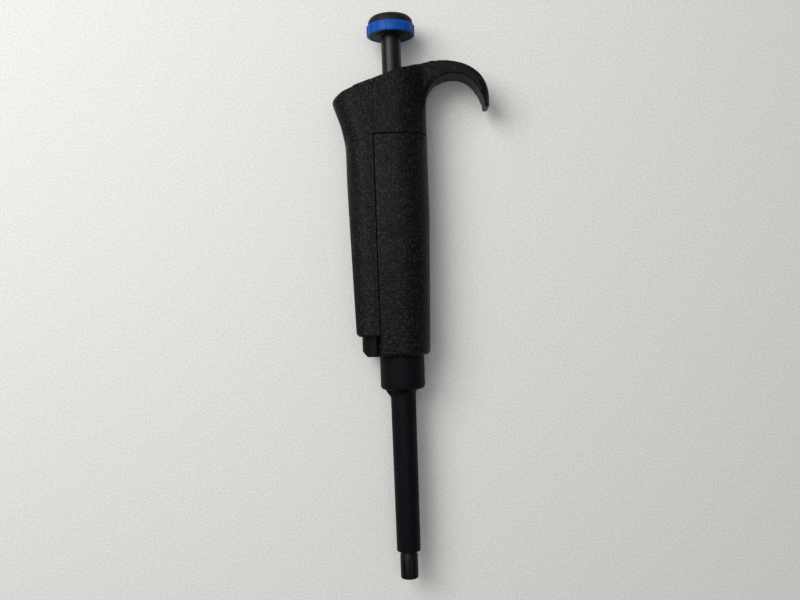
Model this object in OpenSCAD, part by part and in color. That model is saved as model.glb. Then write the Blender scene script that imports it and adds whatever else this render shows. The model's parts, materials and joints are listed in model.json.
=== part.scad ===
// Adjustable single-channel pipette, 100 to 1000 microlitres, lying on its side.
// Pieces are drawn upright in "station" coordinates and laid down by lay():
//   z is the height above the end of the tip cone, along the plunger axis
//   x points from the plunger axis towards the finger hook
//   y is the depth, and +y is the side that the pipette lies on
// The setting drawn is 500 microlitres, with the plunger up.

/* [Overall] */
// Height of the button's top above the tip cone's end
total_len = 235.5; // [234:0.5:238]
// Half the depth of the handle
half_depth = 12.3; // [12:0.1:13]

/* [Handle] */
// Height of the handle's lower end
handle_z = 93.6; // [93:0.1:94]
// Height of the joint between grip and head
split_z = 184.7; // [184.5:0.1:185]
// Gap along the joint between grip and head
split_gap = 0.4; // [0.2:0.1:0.5]
// Distance from the plunger axis to the grip's widest edge
grip_right = 13.65; // [13.6:0.05:14]
// Distance from the plunger axis to the grip's edge at its lower end
grip_right_low = 12; // [12:0.1:13]
// Where the grip starts to taper
taper_z = 152; // [150:1:156]
// Left face of the grip and the head, beside the ejector strip
grip_left = -8.4; // [-8.6:0.1:-8.2]
// Radius of the ejector strip's long corners
corner_r = 9; // [8:0.5:10]
// How far the rounding of the handle's palm side reaches in
crown_w = 13; // [12:0.5:13]
// How much of the half depth that rounding takes
crown_h = 11; // [10:0.5:11]
// Thickness of the grip's wall
wall = 1.9; // [1.6:0.1:2]

/* [Ejector] */
// Left edge of the ejector strip at mid height
strip_left = -20.3; // [-20.5:0.1:-20]
// Left edge of the ejector strip at its lower end
strip_left_low = -18.3; // [-18.5:0.1:-18]
// Right edge of the ejector strip
strip_right = -8.8; // [-9:0.1:-8.7]
// Lower end of the ejector strip
strip_z = 102; // [101.8:0.1:103]
// Travel of the ejector
eject_travel = 8.4; // [7:0.1:8.4]
// Left face of the guide that the strip slides on
guide_left = -16.2; // [-16.3:0.1:-16]
// Top of the guide
guide_top = 180; // [178:1:180]
// Lower end of the ejector sleeve
sleeve_z = 11.5; // [11:0.5:12]
// Underside of the sleeve's collar
collar_z = 79.3; // [79:0.1:80]
// Diameter of the collar
collar_d = 18.6; // [18.4:0.1:18.7]
// Diameter of the sleeve at its lower end
sleeve_d_low = 10; // [9.8:0.1:10.2]
// Diameter of the sleeve under the collar
sleeve_d_top = 10.6; // [10.4:0.1:10.8]

/* [Tip cone and cylinder] */
// Diameter of the seat that a disposable tip is pushed on to
seat_d = 7.4; // [7.3:0.05:7.5]
// Number of flutes round the seat
flutes = 10; // [6:1:10]
// Bore of the cylinder, which sets the volume per millimetre of stroke
cylinder_bore_d = 10.4; // [10.3:0.02:10.42]

/* [Button] */
// Diameter of the colour ring over its body
ring_d = 19.8; // [19:0.1:20]
// Number of ribs round the colour ring
ribs = 16; // [12:1:20]
// Underside of the button
button_z = 227; // [226.5:0.5:228]
// Diameter of the stem under the button
stem_d = 8.2; // [8:0.1:8.3]

/* [Volume drive] */
// Rise of the volume screw in one turn
screw_pitch = 1.18; // [1.1:0.02:1.18]
// Outside diameter of the volume screw
screw_d = 8.8; // [8.6:0.1:8.8]
// Outside diameter of the digit rings
digit_ring_d = 16; // [15.8:0.1:16.1]
// Height of one digit ring
digit_ring_h = 5; // [4.8:0.1:5]

/* [Hidden] */
$fn = 64;

// clearances
run = 0.06;
slip = 0.3;
eps = 0.01;

// colours
black_grain = [0.12, 0.12, 0.13];
black_satin = [0.08, 0.085, 0.11];
blue = [0.1, 0.32, 0.68];
steel = [0.7, 0.71, 0.73];
brass = [0.75, 0.6, 0.3];
white = [0.92, 0.92, 0.9];
rubber = [0.05, 0.05, 0.05];

// top of the handle: one straight slope from the thumb pad to the hook
slope_rise = 0.3455;
slope_z0 = 210.05;
function slope_z(x) = slope_z0 + slope_rise * x;

// the tongue of the grip, which reaches left under the strip
tongue_left = -12.4;
tongue_half = 9;
tongue_top = 181.5;
cavity_left = -10.4;
cavity_half_y = half_depth - 2;

// the guide's section
guide_right = -10;
guide_half = 10.2;
guide_r = 6;

// cylinder and its fixings
shelf_z = 117;
shelf_h = 3;
flange_z = shelf_z + shelf_h;
flange_h = 2.5;
flange_r = 9;
cylinder_r = 7.5;
cylinder_floor = 85;
nut_ring_z = flange_z + flange_h;
nut_ring_h = 3.5;
seat_h = 1.2;

// plunger: the stroke of the setting drawn, and how far below it the plunger can reach
set_turns = 5;
stroke = set_turns * screw_pitch;
blow_out = 2;
lowest = (set_turns - 1) * screw_pitch + stroke + blow_out;
collar_bottom = nut_ring_z + nut_ring_h + lowest + 0.88;
collar_h = 3;
stop_r = 7.6;
piston_z = cylinder_floor + lowest + 0.2;
piston_h = 8;
piston_rod_r = 3;
rod_r = 2.5;

// volume drive
screw_z = collar_bottom + collar_h;
screw_top = 163;
vnut_z = 150;
vnut_h = 6;
vnut_r = 8;
frame_base_top = vnut_z + vnut_h + 2;
sleeve_bottom = vnut_z + vnut_h + 0.2;
sleeve_shoulder = 182.3;
sleeve_end = 186;
stem_low = sleeve_end + lowest + 0.4;
top_plate_z = 180.5;
sleeve_r = 5.8;
brake_r = sleeve_r + run - 0.01;
journal_r = 4.4;
screw_room_top = 169.5;
tens_z = 160;
ring_step = 7;
gear_teeth = 20;
pinion_teeth = 6;
gear_r = 6.6;
pinion_r = gear_r * pinion_teeth / gear_teeth;
pinion_x = gear_r + pinion_r + 0.08;
pinion_shaft_r = 0.6;

// window over the digit rings
window_half_w = 3.4;
window_z = 158.5;
window_h = 22;

// ejector arm
arm_z = 112;
arm_h = 3;
arm_half = 3;
arm_reach = -17.4;
spring_x = -14;
peg_z = 178;

// screws, as [x, y]
frame_screw_at = [-4.6, 8.5];
head_screw_at = [5.9, 7.5];
head_post_r = 2.2;

function arc(cx, cy, r, a0, a1, n = 10) =
    [for (i = [0:n]) let (a = a0 + (a1 - a0) * i / n) [cx + r * cos(a), cy + r * sin(a)]];

function oval(cx, cy, rx, ry, a0, a1, n = 16) =
    [for (i = [0:n]) let (a = a0 + (a1 - a0) * i / n) [cx + rx * cos(a), cy + ry * sin(a)]];

function bezier(p, n = 10) =
    [for (i = [0:n]) let (t = i / n, s = 1 - t)
        s * s * s * p[0] + 3 * s * s * t * p[1] + 3 * s * t * t * p[2] + t * t * t * p[3]];

// lays a piece drawn upright on its side, with the frame's origin under the middle of the pipette
module lay() {
    translate([-7.2, -total_len / 2, half_depth])
        rotate([-90, 0, 0])
            children();
}

// a prism standing on z0, from an outline in x and y
module upright(z0, z1) {
    translate([0, 0, z0])
        linear_extrude(z1 - z0)
            children();
}

// a plate across the depth, from an outline in x and z
module across(half) {
    translate([0, half, 0])
        rotate([90, 0, 0])
            linear_extrude(2 * half)
                children();
}

module tube(z0, z1, r_out, r_in) {
    translate([0, 0, z0])
        difference() {
            cylinder(h = z1 - z0, r = r_out);
            translate([0, 0, -1])
                cylinder(h = z1 - z0 + 2, r = r_in);
        }
}

module box_between(low, high) {
    translate(low)
        cube(high - low);
}

module mirrored_in_depth() {
    children();
    mirror([0, 1, 0])
        children();
}

// the handle's section to the right of a flat left face, crowned less by the inset
module right_section(left, right, half, inset = 0) {
    rx = crown_w - inset;
    ry = crown_h - inset;
    polygon(concat(
        [[left, -half]],
        oval(right - rx, -half + ry, rx, ry, -90, 0),
        oval(right - rx, half - ry, rx, ry, 0, 90),
        [[left, half]]));
}

// the handle's section to the left of a flat right face
module left_section(left, right, half, r) {
    polygon(concat(
        [[right, half]],
        arc(left + r, half - r, r, 90, 180),
        arc(left + r, -half + r, r, 180, 270),
        [[right, -half]]));
}

// a closed coil of round wire, its ends ground flat by staying inside its length
module coil(z0, z1, r, wire_r, turns) {
    sides = 6;
    per_turn = 16;
    count = turns * per_turn;
    rise = z1 - z0 - 2 * wire_r - 0.04;
    points = [for (i = [0:count], j = [0:sides - 1])
        let (a = 360 * i / per_turn,
             b = 360 * j / sides,
             ramp = min(max(i - per_turn, 0), count - 2 * per_turn) / (count - 2 * per_turn),
             end = 2 * wire_r + 0.05,
             low = min(i, per_turn) / per_turn * end,
             high = max(i - count + per_turn, 0) / per_turn * end,
             h = z0 + 0.02 + wire_r + low + high + ramp * (rise - 2 * end))
        [(r + wire_r * cos(b)) * cos(a), (r + wire_r * cos(b)) * sin(a), h + wire_r * sin(b)]];
    skin = [for (i = [0:count - 1], j = [0:sides - 1])
        let (k = (j + 1) % sides)
        [i * sides + j, (i + 1) * sides + j, (i + 1) * sides + k, i * sides + k]];
    first = [[for (j = [0:sides - 1]) j]];
    last = [[for (j = [sides - 1:-1:0]) count * sides + j]];
    polyhedron(points = points, faces = concat(skin, first, last), convexity = 8);
}

// a spur gear's outline, with straight-sided teeth and a tooth centred on the given angle
module gear_outline(teeth, pitch_r, tip, root, turn = 0) {
    step = 360 / teeth;
    polygon([for (i = [0:teeth - 1], k = [0:3])
        let (a = turn + i * step + [-0.3, -0.13, 0.13, 0.3][k] * step,
             r = [root, tip, tip, root][k])
        [r * cos(a), r * sin(a)]]);
}

module screw(z0, length, r, head_r, head_h) {
    translate([0, 0, z0])
        difference() {
            union() {
                translate([0, 0, -head_h / 2])
                    cylinder(h = length + head_h / 2, r = r);
                translate([0, 0, -head_h])
                    cylinder(h = head_h, r = head_r);
            }
            box_between([-head_r - 1, -0.3, -head_h - 1], [head_r + 1, 0.3, -head_h * 0.55]);
        }
}

// ---- fixed pieces of the handle ----

module grip_solid() {
    top = split_z - split_gap / 2;
    intersection() {
        upright(handle_z, top)
            right_section(grip_left, grip_right, half_depth);
        across(half_depth + 1)
            polygon([
                [grip_left - 1, handle_z + 1.2],
                [grip_left + 0.8, handle_z - 0.6],
                [grip_right_low - 1.6, handle_z - 0.6],
                [grip_right_low, handle_z + 1.4],
                [grip_right + 0.1, taper_z],
                [grip_right + 0.1, top + 1],
                [grip_left - 1, top + 1]]);
    }
    box_between([tongue_left, -tongue_half, handle_z], [grip_left + 1, tongue_half, tongue_top]);
}

module grip_rooms() {
    lower_right = grip_right_low - wall;
    box_between([grip_left + wall, -cavity_half_y, handle_z + 2], [lower_right - 4.2, cavity_half_y, shelf_z]);
    box_between([cavity_left, -7.4, handle_z + 2], [lower_right, 7.4, shelf_z]);
    upright(flange_z, vnut_z)
        right_section(grip_left + wall, lower_right + 0.3, cavity_half_y, wall);
    box_between([cavity_left, -7.4, flange_z], [0, 7.4, tongue_top - wall]);
    upright(vnut_z - eps, split_z + 1)
        right_section(grip_left + wall, grip_right - wall, cavity_half_y, wall);
}

module grip_body() color(black_grain) lay() {
    shaft_hole_r = collar_d / 2 + 0.1;
    difference() {
        union() {
            difference() {
                grip_solid();
                grip_rooms();
            }
            intersection() {
                tube(shelf_z - eps, nut_ring_z + nut_ring_h, flange_r + 1.6, flange_r + 0.1);
                grip_solid();
            }
            // posts under the counter frame and for the head screws
            mirrored_in_depth() {
                translate([frame_screw_at[0], frame_screw_at[1], 0])
                    upright(140, vnut_z - 0.05)
                        circle(r = 1.7);
                box_between([grip_left + 1, frame_screw_at[1] - 0.7, 140],
                            [frame_screw_at[0] - 0.9, frame_screw_at[1] + 0.7, vnut_z - 0.05]);
                intersection() {
                    translate([head_screw_at[0], head_screw_at[1], 0])
                        upright(180, split_z - split_gap / 2)
                            circle(r = head_post_r);
                    upright(170, 190)
                        right_section(grip_left + 0.5, grip_right - 0.5, half_depth - 0.5, 0.5);
                }
            }
        }
        // the sleeve's hole, the cylinder's hole and the slot for the arm
        translate([0, 0, handle_z - 1])
            cylinder(h = 4, r = shaft_hole_r);
        translate([0, 0, shelf_z - 1])
            cylinder(h = shelf_h + 2, r = cylinder_r + 0.1);
        box_between([tongue_left - 1, -arm_half - slip, arm_z - eject_travel - slip],
                    [cavity_left + 1, arm_half + slip, arm_z + arm_h + slip]);
        // the window, and the screws
        box_between([-window_half_w, 0, window_z], [window_half_w, half_depth + 1, window_z + window_h]);
        mirrored_in_depth() {
            translate([frame_screw_at[0], frame_screw_at[1], 143])
                cylinder(h = 10, r = 0.85);
            translate([head_screw_at[0], head_screw_at[1], 178])
                cylinder(h = 8, r = 1.25);
        }
    }
}

function hook_outline() = concat(
    bezier([[8, 200], [8, 203], [8, 207], [8, slope_z(8)]], 2),
    bezier([[9, slope_z(9)], [16, 216], [28.5, 216.2], [35, 210.2]], 14),
    bezier([[35, 210.2], [38.6, 206.9], [40.5, 203], [40, 198.4]], 8),
    arc(38.95, 196.4, 1.25, 30, -160, 6),
    bezier([[37.8, 197.6], [36.4, 202], [33.5, 209.2], [25.7, 209.3]], 12),
    bezier([[25.7, 209.3], [19.5, 209.3], [13.9, 205.9], [13.6, 196.5]], 12),
    [[8, 196]]);

module finger_rest_head() color(black_grain) lay() {
    low = split_z + split_gap / 2;
    hook_half = 7;
    difference() {
        union() {
            intersection() {
                upright(low, 216)
                    right_section(grip_left, grip_right, half_depth);
                across(half_depth + 1)
                    polygon([
                        [grip_left - 1, low - 1],
                        [grip_right + 1, low - 1],
                        [grip_right + 1, slope_z(grip_right)],
                        [grip_left - 1, slope_z(grip_left - 1)]]);
            }
            intersection() {
                across(hook_half)
                    polygon(hook_outline());
                upright(190, 218)
                    polygon(concat(
                        [[6, -hook_half]],
                        arc(40.6 - 5.5, -hook_half + 5.5, 5.5, -90, 0),
                        arc(40.6 - 5.5, hook_half - 5.5, 5.5, 0, 90),
                        [[6, hook_half]]));
            }
        }
        upright(low - 1, 194.5)
            difference() {
                right_section(grip_left + wall, grip_right - wall, cavity_half_y, wall);
                for (side = [-1, 1])
                    translate([head_screw_at[0], side * head_screw_at[1]])
                        circle(r = head_post_r);
            }
        translate([0, 0, 190])
            cylinder(h = 16, r = 6.5);
        translate([0, 0, 200])
            cylinder(h = 30, r = stem_d / 2 + slip);
        mirrored_in_depth()
            translate([head_screw_at[0], head_screw_at[1], low - 1])
                cylinder(h = 8.2, r = 0.95);
    }
}

module ejector_guide() color(black_satin) lay() {
    difference() {
        upright(handle_z, guide_top)
            left_section(guide_left, guide_right, guide_half, guide_r);
        box_between([tongue_left - 0.02, -tongue_half - 0.02, handle_z - 1],
                    [-5, tongue_half + 0.02, guide_top + 1]);
        // slot for the arm, channel for the spring, and the bevel at the lower corner
        box_between([guide_left - 1, -arm_half - slip, arm_z - eject_travel - slip],
                    [-5, arm_half + slip, arm_z + arm_h + slip]);
        box_between([spring_x - 1.75, -1.9, 140], [-5, 1.9, guide_top + 1]);
        across(20)
            polygon([[guide_left - 1, handle_z - 1], [guide_left + 3.2, handle_z - 1], [guide_left - 1, handle_z + 3.2]]);
    }
}

module display_window() color([0.75, 0.8, 0.82, 0.5]) lay() {
    intersection() {
        box_between([-window_half_w, 10.4, window_z], [window_half_w, half_depth - 0.25, window_z + window_h]);
        upright(150, 190)
            right_section(grip_left, grip_right, half_depth - 0.25, 0.25);
    }
}

module counter_frame() color(white) lay() {
    difference() {
        union() {
            upright(vnut_z, frame_base_top)
                right_section(grip_left + wall + 0.1, 9.6, cavity_half_y - 0.1, wall + 2.05);
            // pillars behind the rings, ribs beside the pinions, and the top plate with its cup
            upright(frame_base_top - eps, top_plate_z + eps)
                difference() {
                    right_section(grip_left + wall + 0.1, 9.6, cavity_half_y - 0.1, wall + 2.05);
                    circle(r = digit_ring_d / 2 + 0.4);
                    translate([-5.6, -20])
                        square([30, 40]);
                }
            mirrored_in_depth()
                upright(frame_base_top - eps, top_plate_z + eps)
                    translate([9.4, 2.7])
                        square([2, 0.7]);
            upright(vnut_z, frame_base_top)
                translate([9, -3.4])
                    square([2.4, 6.8]);
            upright(top_plate_z, sleeve_shoulder)
                polygon([[-6.4, -9.8], [3.6, -9.8], [3.6, -3.4], [11.4, -3.4], [11.4, 3.4], [3.6, 3.4],
                         [3.6, 9.8], [-6.4, 9.8]]);
            translate([0, 0, sleeve_shoulder - eps])
                cylinder(h = 1.9, r = brake_r + 0.6);
        }
        translate([0, 0, vnut_z - 1])
            cylinder(h = vnut_h + 1, r = vnut_r + 0.02);
        translate([0, 0, vnut_z])
            cylinder(h = 40, r = sleeve_r + run);
        translate([pinion_x, 0, frame_base_top - 1])
            cylinder(h = 30, r = pinion_shaft_r);
        mirrored_in_depth()
            translate([frame_screw_at[0], frame_screw_at[1], vnut_z - 1])
                cylinder(h = 30, r = 1.1);
        mirrored_in_depth()
            translate([frame_screw_at[0], frame_screw_at[1], frame_base_top])
                cylinder(h = 30, r = 1.6);
    }
}

module frame_screws() color(steel) lay()
    mirrored_in_depth()
        translate([frame_screw_at[0], frame_screw_at[1], frame_base_top])
            mirror([0, 0, 1])
                screw(0, 12, 0.8, 1.5, 1.2);

module head_screws() color(steel) lay()
    mirrored_in_depth()
        translate([head_screw_at[0], head_screw_at[1], 0])
            screw(180, 11, 0.9, 1.4, 1.4);

module pinion_shaft() color(steel) lay()
    translate([pinion_x, 0, frame_base_top - 1])
        cylinder(h = sleeve_shoulder - frame_base_top + 1, r = pinion_shaft_r);

module volume_nut() color(brass) lay()
    tube(vnut_z, vnut_z + vnut_h, vnut_r, screw_d / 2 + run);

module brake_ring() color(rubber) lay()
    tube(sleeve_shoulder + 0.1, sleeve_shoulder + 1.9, brake_r, journal_r + 0.02);

module stem_bush() color(black_satin) lay()
    tube(196, 206, 6.5, stem_d / 2 + run);

module tip_cone() color(black_satin) lay()
    difference() {
        rotate_extrude()
            polygon(concat(
                [[1.2, 0.25], [1.4, 0]],
                arc(seat_d / 2 - 0.6, 0.6, 0.6, -90, 0, 4),
                [[seat_d / 2, 10], [seat_d / 2 - 0.25, 10.3], [seat_d / 2 - 0.25, 76]],
                [[seat_d / 2 + 0.1, 78], [seat_d / 2 + 0.1, 82.5]],
                [[cylinder_r, 82.5], [cylinder_r, flange_z], [flange_r, flange_z]],
                [[flange_r, nut_ring_z], [cylinder_bore_d / 2, nut_ring_z]],
                [[cylinder_bore_d / 2, cylinder_floor], [1.2, cylinder_floor - 1]]));
        for (i = [0:flutes - 1])
            rotate((i + 0.5) * 360 / flutes)
                box_between([seat_d / 2 - 0.4, -0.25, -1], [seat_d, 0.25, 8.4]);
    }

module cylinder_nut() color(steel) lay()
    difference() {
        tube(nut_ring_z, nut_ring_z + nut_ring_h, flange_r, 6.5);
        for (a = [0, 90])
            rotate(a)
                box_between([-20, -1, nut_ring_z + 2.2], [20, 1, nut_ring_z + 5]);
    }

module spring_seat() color(steel) lay()
    tube(nut_ring_z, nut_ring_z + seat_h, 6.4, piston_rod_r + run);

module blowout_spring() color(steel) lay()
    coil(nut_ring_z + nut_ring_h, collar_bottom - stroke, 7.05, 0.55, 5);

module piston_spring() color(steel) lay()
    coil(nut_ring_z + seat_h, collar_bottom, 5.1, 0.4, 8);

module ejector_spring() color(steel) lay()
    translate([spring_x, 0, 0])
        coil(140, peg_z, 1.2, 0.3, 12);

// ---- pieces that slide with the ejector ----

function strip_outline() = concat(
    [[strip_right, strip_z], [strip_left_low + 1.2, strip_z], [strip_left_low, strip_z + 1.2], [strip_left, 168]],
    bezier([[strip_left, 178], [-20.6, 186], [-22.6, 192], [-25.6, 199.3]], 12),
    [[-25.5, 200.1], [-23.1, 201.3], [-21, slope_z(-21)], [strip_right, slope_z(strip_right)]]);

// what rounding takes off the strip's long corners
module strip_corners()
    for (side = [-1, 1])
        polygon([for (p = concat(
            [[strip_left - 9, half_depth + 2], [strip_left - 9, half_depth - corner_r]],
            arc(strip_left + corner_r, half_depth - corner_r, corner_r, 180, 90),
            [[strip_left + corner_r, half_depth + 2]])) [p[0], side * p[1]]]);

module thumb_ejector() color(black_grain) lay() {
    lean = 16.2;
    bend_z = 181;
    difference() {
        across(half_depth)
            polygon(strip_outline());
        upright(strip_z - 1, bend_z)
            strip_corners();
        intersection() {
            translate([strip_left, 0, bend_z])
                rotate([0, -lean, 0])
                    translate([-strip_left, 0, -12])
                        linear_extrude(46)
                            strip_corners();
            box_between([-50, -20, bend_z], [0, 20, 230]);
        }
        // room for the guide, the tongue and the hollow thumb pad
        upright(strip_z - 2, guide_top + eject_travel + slip)
            left_section(guide_left - slip, guide_right + slip, guide_half + slip, guide_r + slip);
        box_between([tongue_left - slip, -tongue_half - slip, strip_z - 2],
                    [0, tongue_half + slip, tongue_top + eject_travel + slip]);
        across(8)
            polygon([[-8, 180.5], [-17.5, 180.5], [-21.5, 196], [-21.5, 198], [-8, 203.5]]);
        box_between([arm_reach, -arm_half, arm_z], [-12, arm_half, arm_z + arm_h]);
    }
    // web and peg that bear on the spring
    web_z = guide_top + eject_travel + 0.6;
    box_between([-20.4, -8.5, web_z], [tongue_left - slip, 8.5, web_z + 2]);
    translate([spring_x, 0, peg_z])
        cylinder(h = web_z - peg_z + 1, r = 1.4);
}

module ejector_arm() color(black_satin) lay()
    difference() {
        union() {
            tube(arm_z, arm_z + arm_h, collar_d / 2, 7.8);
            box_between([arm_reach, -arm_half, arm_z], [-8, arm_half, arm_z + arm_h]);
        }
        translate([0, 0, arm_z - 1])
            cylinder(h = arm_h + 2, r = 7.8);
    }

module ejector_sleeve() color(black_satin) lay() {
    edge_r = 1.5;
    collar_r = collar_d / 2;
    tube_r = sleeve_d_top / 2;
    difference() {
        union() {
            rotate_extrude()
                polygon(concat(
                    [[2, sleeve_z], [sleeve_d_low / 2 - 0.4, sleeve_z], [sleeve_d_low / 2, sleeve_z + 0.4]],
                    [[tube_r, collar_z - 0.8], [tube_r + 0.8, collar_z]],
                    arc(collar_r - edge_r, collar_z + edge_r, edge_r, -90, 0, 6),
                    [[collar_r, arm_z], [2, arm_z]]));
            // gusset under the collar, on the strip's side
            across(2.2)
                polygon([[-tube_r + 1, collar_z - 3.4], [-tube_r, collar_z - 3.4], [-collar_r + 2.2, collar_z + 0.2],
                         [-collar_r + 2.2, collar_z + 0.6], [-tube_r + 1, collar_z + 0.6]]);
        }
        translate([0, 0, sleeve_z - 1])
            cylinder(h = 100, r = 4.15);
        translate([0, 0, collar_z + 2])
            cylinder(h = 100, r = cylinder_r + slip);
    }
}

// ---- pieces that turn with the volume drive ----

module drive_sleeve() color(white) lay()
    difference() {
        union() {
            translate([0, 0, sleeve_bottom])
                cylinder(h = sleeve_shoulder - sleeve_bottom, r = sleeve_r);
            translate([0, 0, sleeve_shoulder - eps])
                cylinder(h = sleeve_end - sleeve_shoulder, r = journal_r);
        }
        translate([0, 0, sleeve_bottom - 1])
            cylinder(h = screw_room_top - sleeve_bottom + 1, r = screw_d / 2 + 0.2);
        translate([0, 0, screw_room_top - 1])
            cylinder(h = 30, r = rod_r + 0.1, $fn = 6);
    }

module digit_ring(z0) {
    tube(z0, z0 + digit_ring_h, digit_ring_d / 2, sleeve_r + run);
}

// the toothed step under a digit ring, which the pinion below it turns
module ring_gear(z0) {
    translate([0, 0, z0 - 0.9])
        linear_extrude(0.9 + eps)
            difference() {
                gear_outline(gear_teeth, gear_r, gear_r + 0.42, gear_r - 0.5, 180 / gear_teeth);
                circle(r = sleeve_r + run);
            }
}

module tens_ring() color(white) lay()
    digit_ring(tens_z);

module hundreds_ring() color(white) lay() {
    digit_ring(tens_z + ring_step);
    ring_gear(tens_z + ring_step);
}

module thousands_ring() color(white) lay() {
    digit_ring(tens_z + 2 * ring_step);
    ring_gear(tens_z + 2 * ring_step);
}

module carry_pinion(ring_z) {
    translate([pinion_x, 0, ring_z - 1.8])
        linear_extrude(1.6)
            difference() {
                gear_outline(pinion_teeth, pinion_r, pinion_r + 0.42, pinion_r - 0.5, 180);
                circle(r = pinion_shaft_r + run);
            }
}

module carry_pinion_low() color(steel) lay()
    carry_pinion(tens_z + ring_step);

module carry_pinion_high() color(steel) lay()
    carry_pinion(tens_z + 2 * ring_step);

module volume_screw() color(brass) lay()
    difference() {
        translate([0, 0, screw_z])
            cylinder(h = screw_top - screw_z, r = screw_d / 2);
        translate([0, 0, screw_z - 1])
            cylinder(h = screw_top - screw_z + 2, r = rod_r + 0.1, $fn = 6);
    }

// ---- pieces that slide with the plunger ----

module plunger_stem() color(black_satin) lay()
    difference() {
        translate([0, 0, stem_low])
            cylinder(h = button_z + 1.5 - stem_low, r = stem_d / 2);
        translate([0, 0, stem_low - 1])
            cylinder(h = 60, r = rod_r, $fn = 6);
    }

module drive_rod() color(steel) lay()
    translate([0, 0, screw_z])
        cylinder(h = button_z + 4.5 - screw_z, r = rod_r, $fn = 6);

module stop_collar() color(steel) lay()
    translate([0, 0, collar_bottom])
        cylinder(h = collar_h, r = stop_r);

module piston() color(steel) lay()
    difference() {
        union() {
            translate([0, 0, piston_z])
                cylinder(h = piston_h, r = cylinder_bore_d / 2 - 0.15);
            translate([0, 0, piston_z + piston_h - eps])
                cylinder(h = collar_bottom - piston_z - piston_h + eps, r = piston_rod_r);
        }
        tube(piston_z + 2.8, piston_z + 5.2, cylinder_bore_d, 3.9);
    }

module piston_seal() color(rubber) lay()
    translate([0, 0, piston_z + 4])
        rotate_extrude()
            polygon([[3.95, -0.8], [4.4, -1.1], [5, -0.8], [5.16, 0], [5, 0.8], [4.4, 1.1], [3.95, 0.8]]);

module button_core() color(black_satin) lay()
    difference() {
        rotate_extrude()
            polygon([[0, button_z], [6.8, button_z], [7.4, button_z + 0.4], [8.8, button_z + 0.4], [8.8, button_z + 4.5],
                     [0, button_z + 4.5]]);
        translate([0, 0, button_z - 1])
            cylinder(h = 2.5, r = stem_d / 2);
        translate([0, 0, button_z])
            cylinder(h = 10, r = rod_r, $fn = 6);
    }

module colour_ring() color(blue) lay() {
    low = button_z + 0.3;
    high = button_z + 4.5;
    rotate_extrude()
        polygon([[8.8, low], [ring_d / 2 - 0.25, low], [ring_d / 2, low + 0.35], [ring_d / 2, high - 0.2],
                 [ring_d / 2 - 0.2, high], [8.8, high]]);
    for (i = [0:ribs - 1])
        rotate((i + 0.5) * 360 / ribs)
            box_between([9.4, -0.2, low + 0.3], [ring_d / 2 + 0.3, 0.2, high - 0.3]);
}

module button_cap() color(black_satin) lay()
    rotate_extrude()
        polygon(concat(
            [[0, button_z + 4.5], [ring_d / 2 - 0.5, button_z + 4.5]],
            arc(ring_d / 2 - 3.6, total_len - 3.2, 3.2, 0, 72, 8),
            [[5.4, total_len - 0.05], [0, total_len]]));

grip_body();
finger_rest_head();
ejector_guide();
display_window();
counter_frame();
frame_screws();
head_screws();
pinion_shaft();
volume_nut();
brake_ring();
stem_bush();
tip_cone();
cylinder_nut();
spring_seat();
blowout_spring();
piston_spring();
ejector_spring();
thumb_ejector();
ejector_arm();
ejector_sleeve();
drive_sleeve();
tens_ring();
hundreds_ring();
thousands_ring();
carry_pinion_low();
carry_pinion_high();
volume_screw();
plunger_stem();
drive_rod();
stop_collar();
piston();
piston_seal();
button_core();
colour_ring();
button_cap();
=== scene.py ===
# %% [markdown]
# # An adjustable pipette, lying on a table
#
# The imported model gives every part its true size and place, so this lesson starts by loading it.
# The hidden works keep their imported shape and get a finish. What the hand and the eye meet is
# modelled again with rounded edges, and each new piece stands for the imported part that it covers.

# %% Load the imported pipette
import json
from math import cos, radians, sin

import bpy
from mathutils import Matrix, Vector

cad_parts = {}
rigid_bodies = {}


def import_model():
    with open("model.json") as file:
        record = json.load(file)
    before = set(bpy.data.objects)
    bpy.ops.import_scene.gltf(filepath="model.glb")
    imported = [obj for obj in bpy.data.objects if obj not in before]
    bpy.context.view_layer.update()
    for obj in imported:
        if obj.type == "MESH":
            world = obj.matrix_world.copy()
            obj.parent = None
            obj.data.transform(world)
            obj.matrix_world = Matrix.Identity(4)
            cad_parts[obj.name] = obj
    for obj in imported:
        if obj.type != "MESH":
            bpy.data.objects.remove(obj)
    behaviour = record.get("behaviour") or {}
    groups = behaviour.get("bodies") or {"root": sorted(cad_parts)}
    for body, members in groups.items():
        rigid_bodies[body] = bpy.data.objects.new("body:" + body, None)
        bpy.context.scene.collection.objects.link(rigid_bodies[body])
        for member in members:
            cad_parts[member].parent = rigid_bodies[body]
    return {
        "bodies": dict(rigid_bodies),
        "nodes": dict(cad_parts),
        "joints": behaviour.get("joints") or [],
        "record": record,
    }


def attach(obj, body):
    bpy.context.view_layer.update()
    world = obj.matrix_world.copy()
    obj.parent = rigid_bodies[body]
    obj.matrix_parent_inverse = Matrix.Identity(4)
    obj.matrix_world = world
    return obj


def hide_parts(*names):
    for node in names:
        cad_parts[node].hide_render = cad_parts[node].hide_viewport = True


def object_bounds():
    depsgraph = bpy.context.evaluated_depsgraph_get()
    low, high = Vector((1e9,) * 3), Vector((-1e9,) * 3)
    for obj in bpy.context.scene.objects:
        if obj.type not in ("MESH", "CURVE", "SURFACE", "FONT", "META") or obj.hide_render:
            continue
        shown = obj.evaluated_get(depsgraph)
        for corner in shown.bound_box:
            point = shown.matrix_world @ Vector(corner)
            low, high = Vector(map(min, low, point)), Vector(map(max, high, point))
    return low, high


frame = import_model()
cad_low, cad_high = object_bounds()
nodes, bodies = frame["nodes"], frame["bodies"]

# %% [markdown]
# A maker measures a pipette along its plunger. So `at` takes millimetres across from the
# plunger's axis towards the finger hook, millimetres of height above the tip, and millimetres up
# from the axis, and gives the point in the scene. `placed` goes the other way, which lets the
# code pick a corner of a mesh by where it is.

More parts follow.
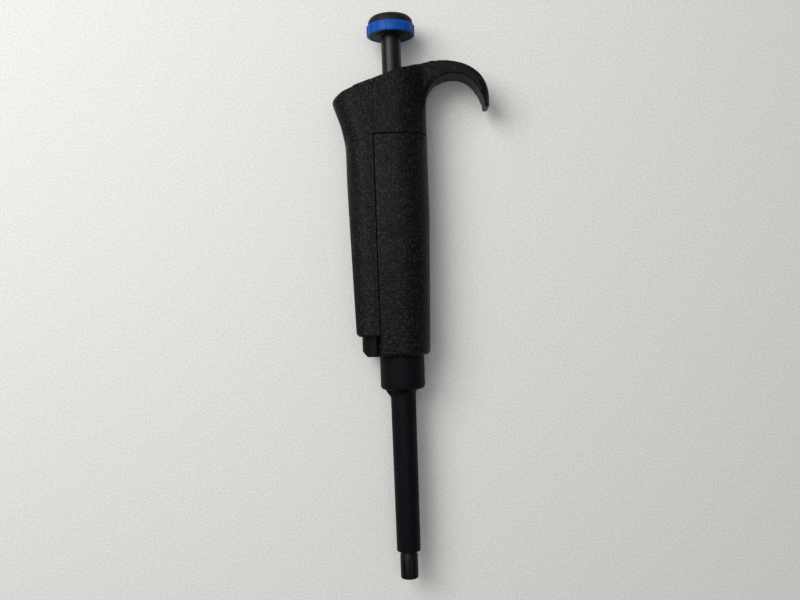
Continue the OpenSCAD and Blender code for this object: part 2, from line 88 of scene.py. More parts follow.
# %% Measure from the plunger's axis
MM = 0.001
turning = {joint["name"]: joint for joint in frame["joints"]}["volume_turn"]
AXIS_X, _, AXIS_Z = turning["pos_m"]
TIP_Y = cad_low.y


def at(across=0, height=0, up=0):
    return Vector((AXIS_X + across * MM, TIP_Y + height * MM, AXIS_Z + up * MM))


def placed(point):
    return ((point.x - AXIS_X) / MM, (point.y - TIP_Y) / MM, (point.z - AXIS_Z) / MM)


print("the top of the button is", round(placed(cad_high)[1], 2), "mm above the tip")

# %% [markdown]
# Blender's operators act on whatever is selected, so each helper first selects just what it
# needs. `started` names the primitive that was just added and puts its place, turn and size into
# its mesh. `pick` opens a piece in edit mode with the corners, edges or faces selected that pass
# a test of their corners' places.

# %% Helpers that select
KINDS = {"VERT": "vertices", "EDGE": "edges", "FACE": "polygons"}


def only(*pieces):
    bpy.ops.object.select_all(action="DESELECT")
    for piece in pieces:
        piece.select_set(True)
    bpy.context.view_layer.objects.active = pieces[0]


def started(name):
    piece = bpy.context.object
    piece.name = piece.data.name = name
    only(piece)
    bpy.ops.object.transform_apply(location=True, rotation=True, scale=True)
    return piece


def pick(piece, kind, test):
    only(piece)
    bpy.ops.object.mode_set(mode="EDIT")
    bpy.ops.mesh.select_mode(type=kind)
    bpy.ops.mesh.select_all(action="DESELECT")
    bpy.ops.object.mode_set(mode="OBJECT")
    places = [placed(corner.co) for corner in piece.data.vertices]
    for item in getattr(piece.data, KINDS[kind]):
        corners = [item.index] if kind == "VERT" else item.vertices
        item.select = bool(test([places[i] for i in corners]))
    bpy.ops.object.mode_set(mode="EDIT")


def block(name, across, height, up):
    bpy.ops.object.select_all(action="DESELECT")
    spans = (across, height, up)
    middle = [(low + high) / 2 for low, high in spans]
    bpy.ops.mesh.primitive_cube_add(size=1, location=at(*middle))
    bpy.context.object.scale = [(high - low) * MM for low, high in spans]
    return started(name)


# %% [markdown]
# Most of a pipette's moulded parts are round, and come off a lathe or out of a round mould.
# `turned` works the same way: it starts from a circle at the first step of an outline, and
# extrudes and resizes it from step to step. A tube's outline runs back to where it began, so its
# ends are merged. An open outline gets a flat face at each end.

# %% A lathe
MERGE = 0.000002
SIDES = 96


def tidied(piece):
    only(piece)
    bpy.ops.object.mode_set(mode="EDIT")
    bpy.ops.mesh.select_mode(type="VERT")
    bpy.ops.mesh.select_all(action="SELECT")
    bpy.ops.mesh.remove_doubles(threshold=MERGE)
    bpy.ops.mesh.normals_make_consistent(inside=False)
    bpy.ops.object.mode_set(mode="OBJECT")
    return piece


def turned(name, outline, tube=False):
    bpy.ops.object.select_all(action="DESELECT")
    radius, height = outline[0]
    bpy.ops.mesh.primitive_circle_add(vertices=SIDES, radius=radius * MM, location=at(0, height),
                                      rotation=(radians(-90), 0, 0))
    piece = started(name)
    bpy.ops.object.mode_set(mode="EDIT")
    bpy.ops.mesh.select_mode(type="EDGE")
    bpy.ops.mesh.select_all(action="SELECT")
    for next_radius, next_height in outline[1:] + (outline[:1] if tube else []):
        bpy.ops.mesh.extrude_edges_move(
            TRANSFORM_OT_translate={"value": (0, (next_height - height) * MM, 0)})
        growth = next_radius / radius
        bpy.ops.transform.resize(value=(growth, 1, growth), center_override=at(0, next_height))
        radius, height = next_radius, next_height
    if not tube:
        bpy.ops.mesh.select_all(action="SELECT")
        bpy.ops.mesh.fill_holes(sides=0)
    bpy.ops.object.mode_set(mode="OBJECT")
    return tidied(piece)


def rounded(radius, height, edge, start, end, steps=6):
    """Points of an outline round a corner, with its centre at that radius and height."""
    angles = [radians(start + (end - start) * i / steps) for i in range(steps + 1)]
    return [(radius + edge * cos(a), height + edge * sin(a)) for a in angles]


# %% [markdown]
# These helpers shape a piece. `bevelled` rounds edges that are picked by place, `sliced` cuts with
# a plane, `smoothed` rubs picked corners soft, and `ringed` repeats a piece round the axis.
# `combined` joins or cuts with a Boolean modifier, and `cast` makes a piece anew as a fine even
# skin and rubs all its edges.

# %% Helpers that shape
RUB = 0.5


def everything(corners):
    return True


def bevelled(piece, test, width, steps):
    pick(piece, "EDGE", test)
    bpy.ops.mesh.bevel(offset=width * MM, segments=steps, affect="EDGES", clamp_overlap=False)
    bpy.ops.object.mode_set(mode="OBJECT")


def sliced(piece, place, facing, cut_off=True):
    """Bisects a piece, and by default takes away and closes what the plane's arrow points to."""
    pick(piece, "FACE", everything)
    bpy.ops.mesh.bisect(plane_co=place, plane_no=facing, clear_outer=cut_off, use_fill=cut_off)
    bpy.ops.object.mode_set(mode="OBJECT")


def smoothed(piece, test, rubs):
    pick(piece, "VERT", test)
    bpy.ops.mesh.vertices_smooth(factor=RUB, repeat=rubs)
    bpy.ops.object.mode_set(mode="OBJECT")


def ringed(piece, count):
    """One piece made of copies of another, evenly round the plunger's axis."""
    copies = [piece]
    for _ in range(1, count):
        only(piece)
        bpy.ops.object.duplicate()
        copies.append(bpy.context.object)
    for i, copy in enumerate(copies):
        only(copy)
        bpy.ops.object.mode_set(mode="EDIT")
        bpy.ops.mesh.select_all(action="SELECT")
        bpy.ops.transform.rotate(value=radians(360 / count * (i + 0.5)), orient_axis="Y",
                                 center_override=at())
        bpy.ops.object.mode_set(mode="OBJECT")
    only(*copies)
    bpy.ops.object.join()
    return piece


def combined(piece, tool, how):
    only(piece)
    bpy.ops.object.modifier_add(type="BOOLEAN")
    joint = piece.modifiers[-1]
    joint.operation, joint.solver, joint.object = how, "EXACT", tool
    bpy.ops.object.modifier_apply(modifier=joint.name)
    bpy.data.objects.remove(tool)


def cast(piece, grid, rubs):
    only(piece)
    bpy.ops.object.modifier_add(type="REMESH")
    skin = piece.modifiers[-1]
    skin.mode, skin.voxel_size = "VOXEL", grid * MM
    bpy.ops.object.modifier_apply(modifier=skin.name)
    bpy.ops.object.modifier_add(type="SMOOTH")
    rubbing = piece.modifiers[-1]
    rubbing.factor, rubbing.iterations = RUB, rubs
    bpy.ops.object.modifier_apply(modifier=rubbing.name)
    return piece


print("cast and smoothed pieces are rubbed at strength", RUB)

# %% [markdown]
# Two helpers stand at the start and the end of a piece's making. `copied` takes a merged copy of
# a imported part. `handed_over` smooths the shading, gives the piece its finish and its body, and
# hides the imported parts that it stands for.

# %% Helpers that copy and hand over
FINISHES = {}


def copied(name, node):
    piece = bpy.data.objects.new(name, nodes[node].data.copy())
    bpy.context.collection.objects.link(piece)
    piece.data.name = name
    piece.data.materials.clear()
    return tidied(piece)


def handed_over(piece, finish, body, *stands_for, crease=32):
    only(piece)
    bpy.ops.object.shade_smooth_by_angle(angle=radians(crease))
    piece.data.materials.clear()
    piece.data.materials.append(FINISHES[finish])
    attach(piece, body)
    if stands_for:
        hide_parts(*stands_for)
    low, high = [placed(piece.matrix_world @ Vector(corner)) for corner in
                 (piece.bound_box[0], piece.bound_box[6])]
    faces = len(piece.data.polygons)
    print(f"{piece.name}: {faces} faces, height {low[1]:.2f} to {high[1]:.2f} mm")


# %% [markdown]
# A finish is a material made of nodes. Writing node trees out by hand is long, so `Wire` wraps a
# socket and lets ordinary arithmetic add Math nodes: `1 - mask` makes a Subtract node. `Finish`
# holds one material, and its `add` makes any other node from its type, its settings and what
# goes into its sockets.

# %% Shader maths as Python
class Wire:
    def __init__(self, finish, socket):
        self.finish, self.socket = finish, socket

    def maths(self, operation, *values):
        return self.finish.add("ShaderNodeMath", {"operation": operation}, dict(enumerate(values)))

    def __add__(self, other):
        return self.maths("ADD", self, other)

    def __sub__(self, other):
        return self.maths("SUBTRACT", self, other)

    def __rsub__(self, other):
        return self.maths("SUBTRACT", other, self)

    def __mul__(self, other):
        return self.maths("MULTIPLY", self, other)

    __radd__, __rmul__ = __add__, __mul__

    def between(self, low, high):
        """0 below low, 1 above high, and a soft step between."""
        sockets = {"Value": self, "From Min": low, "From Max": high}
        return self.finish.add("ShaderNodeMapRange", {"interpolation_type": "SMOOTHSTEP"}, sockets)


class Finish:
    def __init__(self, name, **fixed):
        self.material = bpy.data.materials.new(name)
        self.material.use_nodes = True
        self.tree = self.material.node_tree
        self.shader = self.tree.nodes["Principled BSDF"]
        for socket, value in fixed.items():
            self.shader.inputs[socket.replace("_", " ")].default_value = value
        self.place = self.add("ShaderNodeTexCoord", out="Object")

    def add(self, kind, settings=None, sockets=None, out=0):
        node = self.tree.nodes.new(kind)
        for setting, value in (settings or {}).items():
            setattr(node, setting, value)
        for socket, value in (sockets or {}).items():
            self.join(node.inputs[socket], value)
        return Wire(self, node.outputs[out])

    def join(self, target, value):
        if isinstance(value, Wire):
            self.tree.links.new(value.socket, target)
        else:
            target.default_value = value

    def noise(self, size, detail=2.0, rough=0.5, stretch=None):
        """Noise whose lumps are about size millimetres, stretched along the axes if asked."""
        place = self.place
        if stretch:
            place = self.add("ShaderNodeMapping", None, {"Vector": place, "Scale": stretch})
        sockets = {"Vector": place, "Scale": 1 / (size * MM), "Detail": detail, "Roughness": rough}
        return self.add("ShaderNodeTexNoise", None, sockets, "Fac")

    def mix(self, amount, first, second):
        """A colour between two others."""
        sockets = {0: amount, 6: first, 7: second}
        return self.add("ShaderNodeMix", {"data_type": "RGBA"}, sockets, 2)

    def bump(self, height, strength, depth):
        sockets = {"Height": height, "Strength": strength, "Distance": depth * MM}
        return self.add("ShaderNodeBump", None, sockets)

    def feed(self, **wires):
        for socket, wire in wires.items():
            self.join(self.shader.inputs[socket.replace("_", " ")], wire)
        return self.material


print("a wire understands +, - and *, from either side")

# %% [markdown]
# The grip, the head and the thumb strip are black plastic from a spark-eroded mould, which leaves
# a pebble grain. Each pebble's top is painted a lighter grey in the base colour, a painted
# highlight that stands for the glint of the light on it. Two noises, one with lumps of about a
# millimetre and one of about half that, make the pebbles. The same noises raise the bump, carry
# the painted highlight and make the tops smoother. Handling polishes broad patches a little.

# %% Grained black plastic
grain = Finish("grained_black", IOR=1.5, Specular_IOR_Level=0.08)
pebbles = grain.noise(1.0, 2.0, 0.6)
dust = grain.noise(0.55, 1.0)
handled = grain.noise(14, 2.0).between(0.35, 0.7)
# Painted highlight: the pebble tops are lightened towards grey in the base colour, standing for
# their glints.
painted_glint_tops = pebbles.between(0.52, 0.66) * 0.55 + dust.between(0.52, 0.68) * 0.45
black = grain.mix(handled, (0.001, 0.0011, 0.0013, 1), (0.0018, 0.002, 0.0023, 1))
FINISHES["grained_black"] = grain.feed(
    Base_Color=grain.mix(painted_glint_tops * 0.6, black, (0.034, 0.035, 0.038, 1)),
    Roughness=0.44 - handled * 0.04 - painted_glint_tops * 0.16,
    Normal=grain.bump(pebbles + dust * 0.7, 1.0, 0.3))
print("grained black:", len(grain.tree.nodes), "nodes")

# %% [markdown]
# The ejector's sleeve and the guide come from a smoother, finely blasted mould, and read a touch
# bluer. The tip cone is the same plastic drawn out of a polished mould, so faint draw lines run
# along it. A noise stretched along the plunger gives those.

# %% Satin, cone, stem and button plastics
satin = Finish("satin_black", IOR=1.5, Specular_IOR_Level=0.07)
blast = satin.noise(0.3, 3.0, 0.6)
cloud = satin.noise(9, 3.0).between(0.3, 0.75)
FINISHES["satin_black"] = satin.feed(
    Base_Color=satin.mix(cloud, (0.0018, 0.0024, 0.0034, 1), (0.003, 0.0037, 0.0052, 1)),
    Roughness=0.5 + blast * 0.14 - cloud * 0.06,
    Normal=satin.bump(blast, 0.35, 0.03))

cone = Finish("cone_black", IOR=1.5, Specular_IOR_Level=0.12)
drawn = cone.noise(0.5, 3.0, 0.6, (1, 0.03, 1))
FINISHES["cone_black"] = cone.feed(
    Base_Color=cone.mix(drawn, (0.0028, 0.0029, 0.0034, 1), (0.0055, 0.0056, 0.0062, 1)),
    Roughness=0.36 + drawn * 0.16,
    Normal=cone.bump(drawn, 0.25, 0.03))

stem = Finish("stem_black", IOR=1.5, Specular_IOR_Level=0.2)
rubbed = stem.noise(0.35, 3.0, 0.6, (1, 0.02, 1))
worn = stem.noise(4, 2.0).between(0.45, 0.75)
FINISHES["stem_black"] = stem.feed(
    Base_Color=stem.mix(rubbed, (0.0035, 0.0034, 0.0034, 1), (0.0075, 0.0072, 0.007, 1)),
    Roughness=0.26 + rubbed * 0.12 + worn * 0.06,
    Normal=stem.bump(rubbed, 0.2, 0.02))

button = Finish("button_black", IOR=1.5, Specular_IOR_Level=0.18)
stipple = button.noise(0.3, 2.0, 0.6)
FINISHES["button_black"] = button.feed(
    Base_Color=button.mix(stipple.between(0.5, 0.75), (0.0035, 0.0036, 0.004, 1),
                          (0.022, 0.023, 0.025, 1)),
    Roughness=0.5 + stipple * 0.14,
    Normal=button.bump(stipple, 0.5, 0.05))
print("four more black plastics")

# %% [markdown]
# The colour ring tells the volume range from across a bench, so its blue is strong and even. Its
# pigment still clouds a little, and fingers polish it. The window over the digits is clear, with
# the faint haze of fine scratches.

# %% Blue ring and clear window
ring = Finish("ring_blue", IOR=1.5, Specular_IOR_Level=0.14)
pigment = ring.noise(1.6, 3.0)
touched = ring.noise(0.4, 2.0)
FINISHES["ring_blue"] = ring.feed(
    Base_Color=ring.mix(pigment.between(0.3, 0.7), (0.002, 0.05, 0.27, 1),
                        (0.003, 0.066, 0.33, 1)),
    Roughness=0.36 + touched * 0.16,
    Normal=ring.bump(touched, 0.15, 0.02))

clear = Finish("clear_window", IOR=1.49, Transmission_Weight=0.9)
haze = clear.noise(0.6, 4.0, 0.7, (1, 0.15, 1))
FINISHES["clear_window"] = clear.feed(
    Base_Color=clear.mix(haze, (0.86, 0.9, 0.91, 1), (0.93, 0.95, 0.95, 1)),
    Roughness=0.03 + haze.between(0.45, 0.8) * 0.12,
    Alpha=0.42 + haze * 0.12)
print("blue ring and clear window")

# %% [markdown]
# Inside, the counter is white plastic, the springs, rods and screws are ground steel, the volume
# screw and its nut are turned brass, and the seal and the brake ring are rubber. They are mostly
# hidden, but each one still gets its colour, tool marks and sheen, because a pipette is taken
# apart for cleaning.

# %% Finishes of the works inside
white = Finish("white_plastic", IOR=1.5)
chalk = white.noise(1.2, 3.0)
FINISHES["white_plastic"] = white.feed(
    Base_Color=white.mix(chalk, (0.74, 0.74, 0.71, 1), (0.82, 0.82, 0.8, 1)),
    Roughness=0.42 + chalk * 0.14,
    Normal=white.bump(chalk, 0.15, 0.02))

steel = Finish("steel", Metallic=1.0)
ground = steel.noise(0.18, 3.0, 0.6, (1, 8, 1))
FINISHES["steel"] = steel.feed(
    Base_Color=steel.mix(ground, (0.5, 0.51, 0.53, 1), (0.68, 0.69, 0.7, 1)),
    Roughness=0.24 + ground * 0.2,
    Normal=steel.bump(ground, 0.2, 0.015))

brass = Finish("brass", Metallic=1.0)
tooled = brass.noise(0.25, 3.0, 0.6, (1, 10, 1))
tarnish = brass.noise(3, 3.0).between(0.4, 0.75)
FINISHES["brass"] = brass.feed(
    Base_Color=brass.mix(tarnish, (0.78, 0.6, 0.28, 1), (0.55, 0.4, 0.18, 1)),
    Roughness=0.22 + tooled * 0.18 + tarnish * 0.08,
    Normal=brass.bump(tooled, 0.25, 0.02))

rubber = Finish("rubber_black", IOR=1.5)
bloom = rubber.noise(0.8, 3.0)
FINISHES["rubber_black"] = rubber.feed(
    Base_Color=rubber.mix(bloom.between(0.4, 0.8), (0.012, 0.012, 0.012, 1),
                          (0.03, 0.03, 0.029, 1)),
    Roughness=0.66 + bloom * 0.15,
    Normal=rubber.bump(bloom, 0.2, 0.03))

for part in frame["record"]["subparts"]:
    finish = FINISHES[part["material_slot"]]
    for holder in nodes[part["node"]].material_slots:
        holder.material = finish

# %% [markdown]
# ## The grip
#
# The grip is a shell with a flat left side, where the thumb strip slides, and a crowned right
# side for the palm. It narrows below the middle. Its section is drawn as points: two quarter
# ovals and the flat side. `prism` moves the corners of a filled circle on to such an outline and
# extrudes the face. The taper is a resize of the lowest slice's rounded part, and small bevels
# break the edges.

# %% The grip's outer shape
CROWN_WIDE, CROWN_DEEP = 13, 11
GRIP_RIGHT, HALF_DEPTH, GRIP_SIDE = 13.63, 12.28, -8.38
GRIP_TOP, GRIP_LOW, TAPER_FROM = 184.48, 93.62, 152
CROWN_STEPS = 20


def prism(name, outline, way):
    """A solid from a flat outline of (across, height, up) points, extruded by such a step."""
    bpy.ops.object.select_all(action="DESELECT")
    bpy.ops.mesh.primitive_circle_add(vertices=len(outline), radius=MM, fill_type="NGON")
    piece = started(name)
    for corner, point in zip(piece.data.vertices, outline):
        corner.co = at(*point)
    pick(piece, "FACE", everything)
    bpy.ops.mesh.extrude_region_move(TRANSFORM_OT_translate={"value": [x * MM for x in way]})
    bpy.ops.object.mode_set(mode="OBJECT")
    return tidied(piece)


def palm_section(left, height):
    """The handle's section at a height, between its flat left side and its crowned right side."""
    centre_x, centre_up = GRIP_RIGHT - CROWN_WIDE, HALF_DEPTH - CROWN_DEEP
    points = [(left, height, -HALF_DEPTH)]
    for side in (-1, 1):
        for i in range(CROWN_STEPS + 1):
            angle = radians(90 * (1 - i / CROWN_STEPS) if side < 0 else 90 * i / CROWN_STEPS)
            points.append((centre_x + CROWN_WIDE * cos(angle), height,
                           side * (centre_up + CROWN_DEEP * sin(angle))))
    return points + [(left, height, HALF_DEPTH)]


shell = prism("grip_shell", palm_section(GRIP_SIDE, GRIP_LOW), (0, GRIP_TOP - GRIP_LOW, 0))
sliced(shell, at(0, TAPER_FROM), (0, 1, 0), cut_off=False)
pick(shell, "VERT", lambda corners: corners[0][0] > 0.7 and corners[0][1] < GRIP_LOW + 1)
bpy.ops.transform.resize(value=(0.87, 1, 1), center_override=at(0.63, GRIP_LOW))
bpy.ops.object.mode_set(mode="OBJECT")
bevelled(shell, lambda corners: all(height < GRIP_LOW + 0.1 for x, height, up in corners)
         and any(x > -8.3 for x, height, up in corners), 1.6, 5)
bevelled(shell, lambda corners: all(height > GRIP_TOP - 0.1 for x, height, up in corners)
         or all(x < -8.3 and abs(up) > 10 for x, height, up in corners), 0.35, 3)
print("the grip's outside has", len(shell.data.polygons), "faces")

# %% [markdown]
# The tongue on the grip's left side carries the thumb strip. It is joined on, and then the whole
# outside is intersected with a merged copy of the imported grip. That brings over the hollow, the
# window's opening, the screw posts and the hole for the sleeve just where they are, while every
# outer edge keeps its new bevel.

# %% The grip's tongue and hollow
tongue = block("tongue", (-12.38, -7.5), (GRIP_LOW, 181.48), (-8.98, 8.98))
bevelled(tongue, lambda corners: all(x < -12.3 for x, height, up in corners), 0.3, 2)
combined(shell, tongue, "UNION")
combined(shell, copied("grip_copy", "grip_body"), "INTERSECT")
handed_over(tidied(shell), "grained_black", "handle", "grip_body")

# %% [markdown]
# ## The head and its finger hook
#
# The head closes the grip's top and reaches right into a hook that hangs on the index finger. In
# the mould the hook flows out of the head with no edge between them. The block has the grip's
# section and a sloping top. It starts a little too long at the left and below, where it will be
# cut off cleanly to leave crisp seams against the strip and the grip.

# %% The head's block
SLOPE, SLOPE_AT_AXIS = 0.3455, 210.03
HEAD_SIDE, HEAD_LOW = -8.47, 184.92


def slope_at(across):
    return SLOPE_AT_AXIS + SLOPE * across


def on_right_corners(corners):
    """True for the two long edges on the right of a block, which the wide bevels take."""
    return (all(x > 10 and abs(up) > 6.5 for x, height, up in corners)
            and corners[0][2] * corners[1][2] > 0)


head = prism("head_and_hook", palm_section(-12, 181), (0, 34, 0))
sliced(head, at(0, SLOPE_AT_AXIS), (-SLOPE, 1, 0))
print("the head's block has", len(head.data.polygons), "faces")

# %% [markdown]
# The hook is flat-sided in plan, so it could be cut from a plate, like a shape from thick clay.
# Its outline runs between Bezier curves. The same `prism` helper stands it up through the depth.
# A second block, rounded at its outer end, is intersected with it, which rounds the hook's back
# where the finger slides past.

# %% The hook


def curve(points, steps):
    """Evenly stepped points on a Bezier curve of four points, with its last point left out."""
    found = []
    for i in range(steps):
        t = i / steps
        weights = ((1 - t) ** 3, 3 * t * (1 - t) ** 2, 3 * t * t * (1 - t), t ** 3)
        found.append(tuple(sum(w * p[k] for w, p in zip(weights, points)) for k in (0, 1)))
    return found


hook_outline = (
    curve([(8, 203), (8, 206), (8.2, 210), (9, 213.1)], 3)
    + curve([(9, 213.1), (16, 215.95), (28.5, 216.15), (35, 210.15)], 16)
    + curve([(35, 210.15), (38.6, 206.85), (40.45, 203), (39.98, 198.4)], 9)
    + rounded(38.93, 196.45, 1.25, 30, -160, 8)
    + curve([(37.8, 197.6), (36.4, 202), (33.5, 209.2), (25.7, 209.3)], 14)
    + curve([(25.7, 209.3), (19.5, 209.3), (13.9, 205.9), (13.55, 196.5)], 14)
    + [(13.5, 196), (8, 196)])
hook = prism("hook", [(x, height, -6.95) for x, height in hook_outline], (0, 0, 13.9))
hook_end = block("hook_end", (5, 40.55), (190, 218), (-6.97, 6.97))
bevelled(hook_end, on_right_corners, 5.5, 10)
combined(hook, hook_end, "INTERSECT")
print("the hook has", len(hook.data.polygons), "faces")

# %% [markdown]
# Block and hook are joined, cast as one fine skin and rubbed, which rounds every edge. Where the
# hook leaves the block the skin is rubbed much more, on its broad sides and along the top, until
# the two flow together. Then the two seams are cut, and the inside is hollowed: a room under the
# top, a seat for the stem's bush, and the hole that the stem slides through.

# %% Blend, cut and hollow the head
combined(head, hook, "UNION")
cast(head, 0.42, 12)
smoothed(head, lambda corners: 7 < corners[0][0] < 19 and corners[0][1] > 193
         and abs(corners[0][2]) > 4.5 and corners[0][1] < slope_at(corners[0][0]) - 1.2, 60)
smoothed(head, lambda corners: 5 < corners[0][0] < 15
         and corners[0][1] > slope_at(corners[0][0]) - 2, 30)
sliced(head, at(HEAD_SIDE, 190), (-1, 0, 0))
sliced(head, at(0, HEAD_LOW), (0, -1, 0))

room = block("room", (-6.5, 11), (HEAD_LOW - 2, 194.5), (-10, 10))
bevelled(room, on_right_corners, 7.5, 8)
combined(room, turned("bush_seat", [(6.5, 190), (6.5, 206)]), "UNION")
combined(room, turned("stem_hole", [(4.4, 200), (4.4, 230)]), "UNION")
combined(head, room, "DIFFERENCE")
handed_over(tidied(head), "grained_black", "handle", "finger_rest_head")

# %% [markdown]
# ## The thumb strip and its guide
#
# The thumb presses the flared top of the strip to knock the used tip off. The strip's outline,
# its channel and its web are many small shapes at once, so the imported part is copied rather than
# drawn again. The copy's triangles are merged, cast as a fine skin and rubbed, which gives it the
# soft edges of a moulding, and its flared corner is rubbed a lot more. The copy is widened first
# and cut back afterwards, like the head, so that the side facing the seam stays crisp and the
# seam narrow and dark. The guide that the strip slides on is cast in the same way.

# %% The thumb strip and the guide
STRIP_SIDE, WIDER = -8.7, 3
strip = copied("thumb_strip", "thumb_ejector")
for lowest, way in ((90, (WIDER, 0, 0)), (200, (0, WIDER * SLOPE, 0))):
    pick(strip, "VERT", lambda corners: corners[0][0] > -9 and corners[0][1] > lowest)
    bpy.ops.transform.translate(value=Vector(way) * MM)
    bpy.ops.object.mode_set(mode="OBJECT")
cast(strip, 0.36, 6)
smoothed(strip, lambda corners: corners[0][0] < -16 and corners[0][1] > 195, 90)
sliced(strip, at(STRIP_SIDE), (1, 0, 0))
handed_over(tidied(strip), "grained_black", "ejector", "thumb_ejector", crease=50)
guide = cast(copied("strip_guide", "ejector_guide"), 0.3, 4)
handed_over(tidied(guide), "satin_black", "handle", "ejector_guide", crease=50)

# %% [markdown]
# ## The ejector sleeve
#
# The sleeve is a long slightly tapered tube. Under the grip it swells into a collar, with a soft
# fillet between. It is turned from one outline that runs up the outside and back down the bore.
# A small rib under the collar, on the strip's side, is a block whose lower corner is pulled in.

# %% The ejector sleeve
sleeve = turned("tip_sleeve", [(4.15, 11.52), (4.7, 11.52), (4.93, 11.65), (4.99, 11.95)]
                + [(5.27, 76.6), (5.34, 77.6), (5.55, 78.4), (5.95, 79.0), (6.6, 79.3)]
                + [(7.4, 79.4)] + rounded(7.78, 80.92, 1.5, -75, 0) + [(9.28, 111.6)]
                + [(9.0, 111.98), (8.0, 111.98), (7.8, 111.7), (7.8, 81.3), (4.15, 81.3)],
                tube=True)
rib = block("rib", (-8.2, -4.6), (76.2, 80.4), (-2.2, 2.2))
pick(rib, "VERT", lambda corners: corners[0][0] < -8 and corners[0][1] < 77)
bpy.ops.transform.translate(value=(2.9 * MM, 0, 0))
bpy.ops.object.mode_set(mode="OBJECT")
bevelled(rib, lambda corners: all(x < -5 for x, height, up in corners), 0.5, 3)
combined(sleeve, rib, "UNION")
handed_over(tidied(sleeve), "satin_black", "ejector", "ejector_sleeve")

# %% [markdown]
# ## The tip cone
#
# The disposable tip is pushed on to the cone's end. Fine flutes run up the end, so that the tip
# grips on ten lands and lets go easily. The cone is turned with its air channel and its cylinder
# inside. One flute cutter is modelled and repeated round the axis, and the ring of cutters is
# taken away in one cut.

# %% The tip cone
FLUTES = 10
tip = turned("tip_cone_fluted", [(1.2, 0.25), (1.45, 0.02)] + rounded(3.1, 0.62, 0.6, -90, 0)
             + [(3.7, 9.9), (3.45, 10.3), (3.45, 76), (3.8, 78), (3.8, 82.5), (7.48, 82.5)]
             + [(7.5, 82.8), (7.5, 120), (9, 120), (9, 122.48), (5.2, 122.48), (5.2, 85)]
             + [(1.2, 84)], tube=True)
cutter = block("flute", (3.28, 5), (-1, 8.3), (-0.27, 0.27))
bevelled(cutter, lambda corners: all(height > 8 for x, height, up in corners)
         and all(x < 3.4 for x, height, up in corners), 0.3, 3)
combined(tip, ringed(cutter, FLUTES), "DIFFERENCE")
handed_over(tidied(tip), "cone_black", "handle", "tip_cone")
print("cut", FLUTES, "flutes")

# %% [markdown]
# ## The plunger's stem and button
#
# The stem is a plain polished tube, which needs crisp small chamfers more than anything else. The
# button is three parts snapped together: a black base with a stepped underside, the colour ring,
# and a black cap with a low dome for the thumb.

# %% Stem, base and cap
STEM_LOW, BUTTON_LOW, BUTTON_TOP = 199.02, 227, 235.5
button_stem = turned("button_stem", [(2.6, STEM_LOW), (3.8, STEM_LOW), (4.1, STEM_LOW + 0.3)]
                     + [(4.1, 228.4), (2.6, 228.4)], tube=True)
handed_over(button_stem, "stem_black", "plunger", "plunger_stem")

base = turned("button_base", [(4.12, 228.5), (4.12, BUTTON_LOW + 0.15), (4.3, BUTTON_LOW)]
              + rounded(6.5, BUTTON_LOW + 0.3, 0.3, -90, -20, 3)
              + [(7.1, BUTTON_LOW + 0.42), (7.5, BUTTON_LOW + 0.45), (8.5, BUTTON_LOW + 0.45)]
              + [(8.78, BUTTON_LOW + 0.7), (8.78, 231.48)])
handed_over(base, "button_black", "plunger", "button_core")

cap = turned("button_cap_dome", [(9.35, 231.5)] + rounded(6.2, 232.3, 3.18, 0, 66, 10)
             + [(6.6, BUTTON_TOP - 0.26), (5.2, BUTTON_TOP - 0.1), (3.2, BUTTON_TOP - 0.03)]
             + [(1.2, BUTTON_TOP)])
handed_over(cap, "button_black", "plunger", "button_cap")

# %% [markdown]
# Sixteen thin ribs stand on the colour ring for the fingertips to turn it by. The ring is turned,
# one rib is modelled with its outer edges rounded, and it is repeated round the ring. Ribs and
# ring are then joined as one moulding.

# %% The colour ring
RIBS = 16
blue = turned("blue_ring", [(8.8, 227.32), (9.6, 227.32), (9.82, 227.42), (9.9, 227.68)]
              + [(9.9, 231.25), (9.82, 231.43), (9.65, 231.48), (8.8, 231.48)], tube=True)
rib = block("ring_rib", (9.5, 10.18), (227.6, 231.2), (-0.21, 0.21))
bevelled(rib, lambda corners: all(x > 10 for x, height, up in corners), 0.12, 2)
combined(blue, ringed(rib, RIBS), "UNION")
handed_over(tidied(blue), "ring_blue", "plunger", "colour_ring")

# %% [markdown]
# ## The digits
#
# Three rings behind the window show the volume: thousands, hundreds and tens of microlitres, with
# 0 5 0 now in the window. Each digit is a text made into a mesh, set across its ring's surface
# with its top towards the button, and trimmed to a drum a hair wider than the ring, so that it
# follows the ring's curve and clears the pinions' shaft. A ring that turns one step the positive
# way brings up the next higher digit, so the higher ones stand further round the other way.

# %% The digits on the rings
RING_RADIUS, DIGIT_STEP = 8, 36
DIGIT_HIGH, DIGIT_THICK, PRINT_RADIUS = 4.6, 0.15, RING_RADIUS + 0.045
ink = Finish("digit_ink", IOR=1.5)
print_grain = ink.noise(0.15, 2.0)
FINISHES["digit_ink"] = ink.feed(
    Base_Color=ink.mix(print_grain, (0.012, 0.012, 0.013, 1), (0.03, 0.03, 0.032, 1)),
    Roughness=0.4 + print_grain * 0.2)

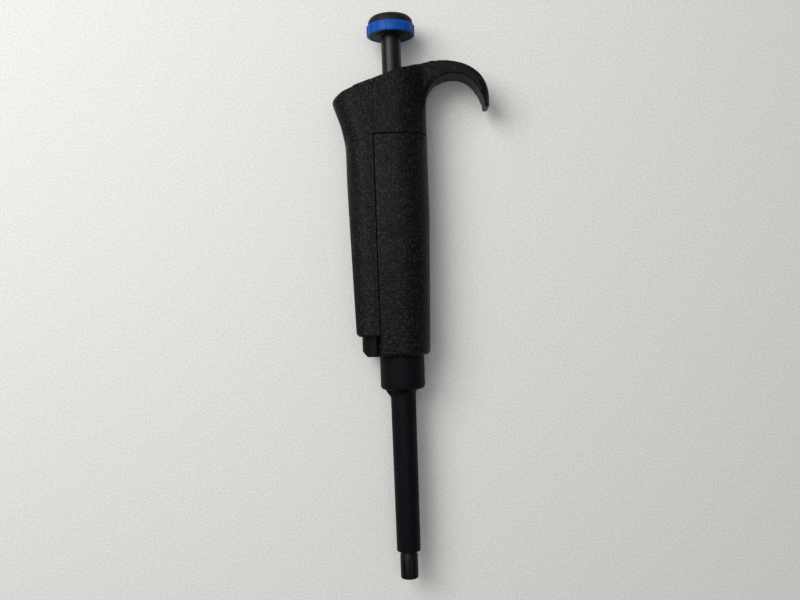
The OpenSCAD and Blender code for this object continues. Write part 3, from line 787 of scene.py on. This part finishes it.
for name, body, height, shown in (("thousands", "thousands_wheel", 176.5, 0),
                                  ("hundreds", "hundreds_wheel", 169.5, 5),
                                  ("tens", "volume_drive", 162.5, 0)):
    figures = []
    for digit in range(10):
        bpy.ops.object.select_all(action="DESELECT")
        bpy.ops.object.text_add(location=(0, 0, 0))
        figure = bpy.context.object
        figure.data.body = str(digit)
        figure.data.align_x, figure.data.align_y = "CENTER", "CENTER"
        figure.data.size, figure.data.extrude = DIGIT_HIGH * MM, DIGIT_THICK * MM
        only(figure)
        bpy.ops.object.convert(target="MESH")
        figure.location = at(0, height, RING_RADIUS)
        figure = started(f"{name}_{digit}")
        bpy.ops.object.mode_set(mode="EDIT")
        bpy.ops.mesh.select_all(action="SELECT")
        bpy.ops.mesh.remove_doubles(threshold=MERGE)
        bpy.ops.transform.rotate(value=radians(180 + DIGIT_STEP * (digit - shown)),
                                 orient_axis="Y", center_override=at(0, height))
        bpy.ops.object.mode_set(mode="OBJECT")
        figures.append(figure)
    only(*figures)
    bpy.ops.object.join()
    figures[0].name = f"{name}_digits"
    drum = turned(f"{name}_drum", [(PRINT_RADIUS, height - 3), (PRINT_RADIUS, height + 3)])
    combined(figures[0], drum, "INTERSECT")
    figures[0].data.materials.clear()
    figures[0].data.materials.append(FINISHES["digit_ink"])
    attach(figures[0], body)
    print(figures[0].name, len(figures[0].data.polygons), "faces")

# %% [markdown]
# ## The table and the light
#
# The pipette lies on a pale tabletop with a fine orange-peel surface. A window to the upper left
# throws soft shadows to the right, and makes the left flanks of the black plastic greyer than
# the right ones. A dimmer ceiling and the room's own light keep the shadows open.

# %% The table
bpy.ops.object.select_all(action="DESELECT")
bpy.ops.mesh.primitive_plane_add(size=4, location=(0, 0, 0))
table = started("table")
top = Finish("pale_tabletop", IOR=1.45, Specular_IOR_Level=0.3)
peel = top.noise(0.9, 3.0, 0.7)
flecks = top.noise(0.45, 2.0, 0.6)
pale = top.mix(peel.between(0.35, 0.65), (0.57, 0.565, 0.55, 1), (0.66, 0.655, 0.635, 1))
table.data.materials.append(top.feed(
    Base_Color=top.mix(flecks.between(0.6, 0.8) * 0.35, pale, (0.42, 0.415, 0.4, 1)),
    Roughness=0.6 + peel * 0.12,
    Normal=top.bump(peel, 0.7, 0.2)))
print("the table is", table.dimensions.x, "m wide")

# %% The light


def lamp(name, place, size, watts, colour):
    bpy.ops.object.light_add(type="AREA", location=place)
    light = bpy.context.object
    light.name = name
    light.data.size, light.data.energy, light.data.color = size, watts, colour
    light.rotation_euler = (-Vector(place)).to_track_quat("-Z", "Y").to_euler()


lamp("window", (-0.38, 0.3, 0.58), 0.5, 5.5, (1.0, 0.985, 0.955))
lamp("ceiling", (-0.05, 0.1, 1.6), 1.2, 7.5, (0.97, 0.985, 1.0))
world = bpy.data.worlds.new("room")
bpy.context.scene.world = world
world.use_nodes = True
glow = world.node_tree.nodes["Background"].inputs
glow["Color"].default_value, glow["Strength"].default_value = (0.93, 0.97, 1, 1), 0.24
print("two lights and the room's own")

# %% [markdown]
# ## The camera
#
# The camera looks straight down from about 37 cm, turned a little so that the button's end leans
# to the left.

# %% The camera
bpy.ops.object.camera_add(location=(-0.0072, -0.00115, 0.3693),
                          rotation=(0, 0, radians(-2.04)))
camera = bpy.context.object
camera.name = "camera_above"
camera.data.sensor_width, camera.data.lens = 36, 38.25
camera.data.clip_start = 0.01
bpy.context.scene.camera = camera
bpy.context.scene.view_settings.view_transform = "Standard"
print("the camera is", round(camera.location.z * 100, 1), "cm above the table")
